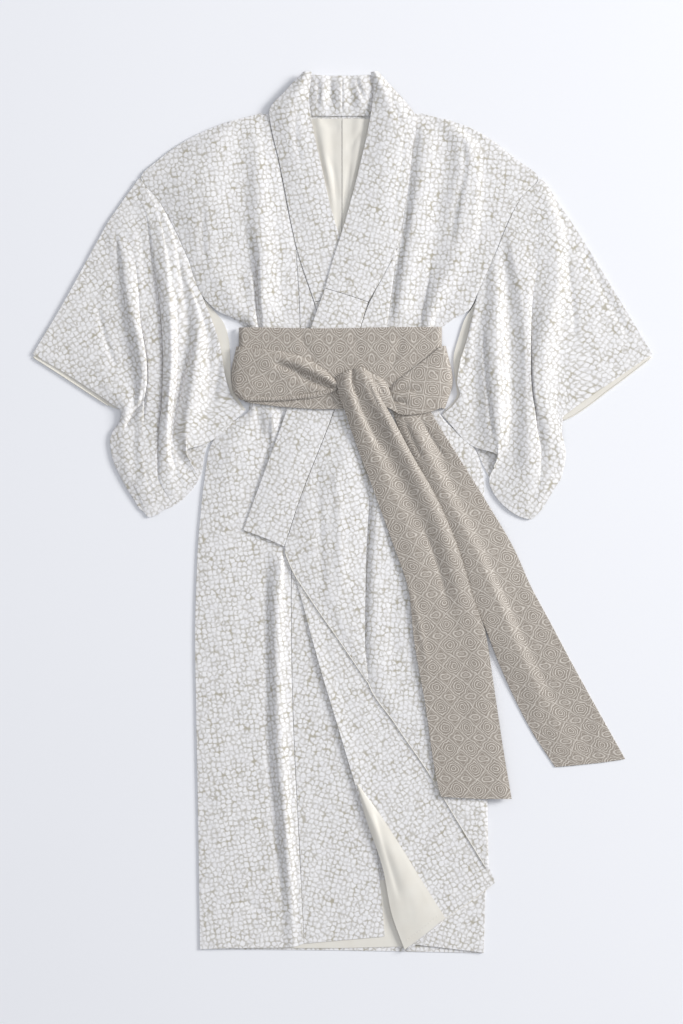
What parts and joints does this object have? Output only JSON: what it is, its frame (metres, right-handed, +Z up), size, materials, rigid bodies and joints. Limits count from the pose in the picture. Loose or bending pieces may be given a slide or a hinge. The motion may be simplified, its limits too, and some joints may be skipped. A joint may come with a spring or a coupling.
{
  "type": "kimono robe",
  "caption": "Lined kimono robe laid flat on its back, pale pebble print, with wide sleeves, a crossed collar and a patterned sash tied in front.",
  "frame": {"origin": "middle of the robe's bounding box, on the surface that its back lies on", "axes": "+Y up the robe from the hem to the collar, +X to the wearer's left, +Z up from the surface through the cloth"},
  "size_m": [1.083, 1.5401, 0.0316],
  "materials": {
    "print": "soft matt silk crepe with an off-white pebble print",
    "lining": "smooth cream silk lining",
    "sash": "greige silk jacquard with a low sheen"
  },
  "bodies": {
    "root": {"back_right": "print", "back_left": "print", "front_right": "print", "overlap_right": "print", "front_left": "print", "overlap_left": "print", "overlap_left_lower": "print", "front_left_hem": "print", "collar_cover_right": "print", "collar_cover_left": "print", "collar_cover_back": "print", "collar_right": "print", "collar_left": "print", "sleeve_front_right": "print", "sleeve_back_right": "print", "sleeve_front_left": "print", "sleeve_back_left": "print", "lining_back_right": "lining", "lining_back_left": "lining", "lining_hem": "lining", "overlap_left_facing": "lining", "sleeve_lining_right": "lining", "sleeve_lining_left": "lining", "sash_back": "sash", "sash_band": "sash", "sash_wrap": "sash", "sash_loop": "sash", "sash_knot": "sash", "sash_tail_upper": "sash", "sash_tail_lower": "sash"}
  },
  "joints": []
}
